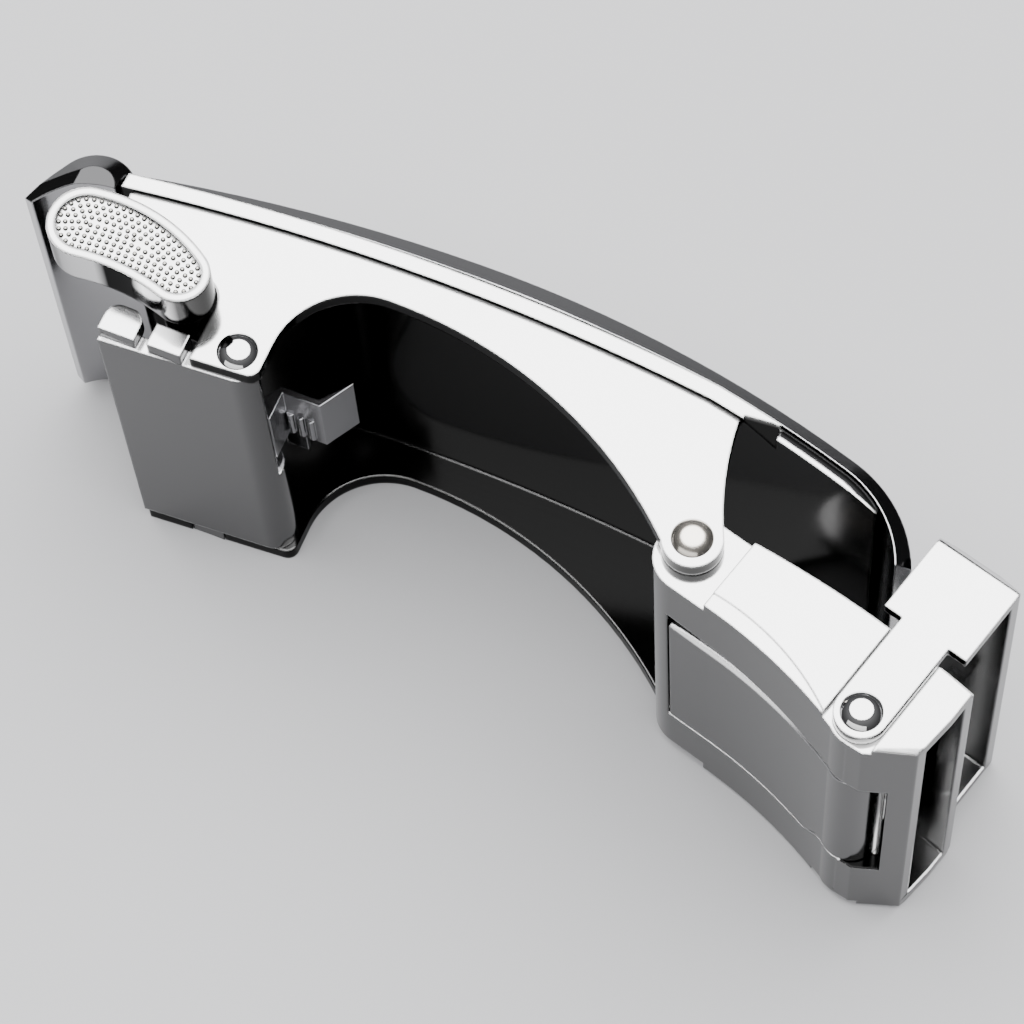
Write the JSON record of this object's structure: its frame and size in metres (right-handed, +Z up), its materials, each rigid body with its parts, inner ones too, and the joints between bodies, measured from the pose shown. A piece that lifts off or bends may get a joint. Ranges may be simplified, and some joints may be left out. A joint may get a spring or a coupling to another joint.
{
  "type": "belt buckle",
  "caption": "Ratchet belt buckle with a curved bevelled face plate, arched side plates, a bean-shaped release lever, a swivelling strap clamp and a keeper; polished chrome.",
  "frame": {"origin": "on the surface it stands on, below the middle of its box", "axes": "X runs along the buckle towards the strap clamp, Y points to the face plate, Z runs up across the strap's width"},
  "size_m": [0.0984, 0.0318, 0.0436],
  "materials": {
    "plate": "polished chrome plate on zinc alloy",
    "casting": "polished chrome plate on zinc alloy",
    "rear": "polished chrome plate on zinc alloy",
    "lever": "satin chrome with a dotted thumb field",
    "pawl_steel": "plain plated steel",
    "pins": "polished rivets",
    "swivel": "polished nickel rivet",
    "clamp": "polished chrome plate on zinc alloy",
    "tongue": "polished chrome plate on zinc alloy",
    "keeper": "polished chrome plate on steel"
  },
  "bodies": {
    "buckle": {"face_plate": "plate", "frame": "casting", "back_plate": "rear", "pivot_pin": "pins", "swivel_rivet_top": "swivel", "swivel_rivet_bottom": "swivel"},
    "lever": {"release_lever": "lever", "pawl": "pawl_steel"},
    "clamp": {"clamp_body": "clamp", "clamp_pin": "pins", "keeper": "keeper"},
    "tongue": {"clamp_tongue": "tongue"}
  },
  "joints": [
    {"name": "clamp_swivel", "type": "hinge", "parent": "buckle", "child": "clamp", "pos_m": [0.0209, -0.00297, 0.0195], "axis": [0, 0, 1], "range_deg": [-40, 2]},
    {"name": "tongue_hinge", "type": "hinge", "parent": "clamp", "child": "tongue", "pos_m": [0.0404, -0.01273, 0.0195], "axis": [0, 0, 1], "range_deg": [0, 80]},
    {"name": "release_lever", "type": "hinge", "parent": "buckle", "child": "lever", "pos_m": [-0.0238, -0.00102, 0.0195], "axis": [0, 0, 1], "range_deg": [-7, 0], "stiffness_Nm_per_rad": 0.02, "springref_deg": 17.19}
  ]
}
